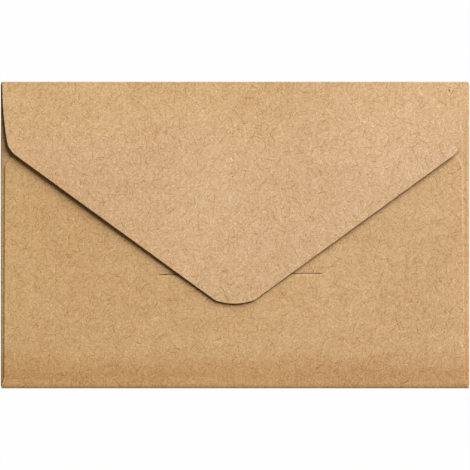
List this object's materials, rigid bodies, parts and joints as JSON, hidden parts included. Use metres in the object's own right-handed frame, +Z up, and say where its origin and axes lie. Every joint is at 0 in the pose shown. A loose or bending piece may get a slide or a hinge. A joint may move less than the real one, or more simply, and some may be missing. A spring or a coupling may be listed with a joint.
{
  "type": "paper envelope",
  "caption": "Small kraft paper gift card envelope, folded and glued from one sheet, its pointed round-tipped flap folded down over a pocket with a tuck slit",
  "frame": {"origin": "middle of the front panel's outer face, which lies on the table", "axes": "+X along the long side, +Y from the bottom fold to the top fold, +Z up through the layers to the flap"},
  "size_m": [0.107, 0.07, 0.0022],
  "materials": {
    "kraft_paper": "matte"
  },
  "bodies": {
    "root": {"envelope": "kraft_paper"}
  },
  "joints": []
}
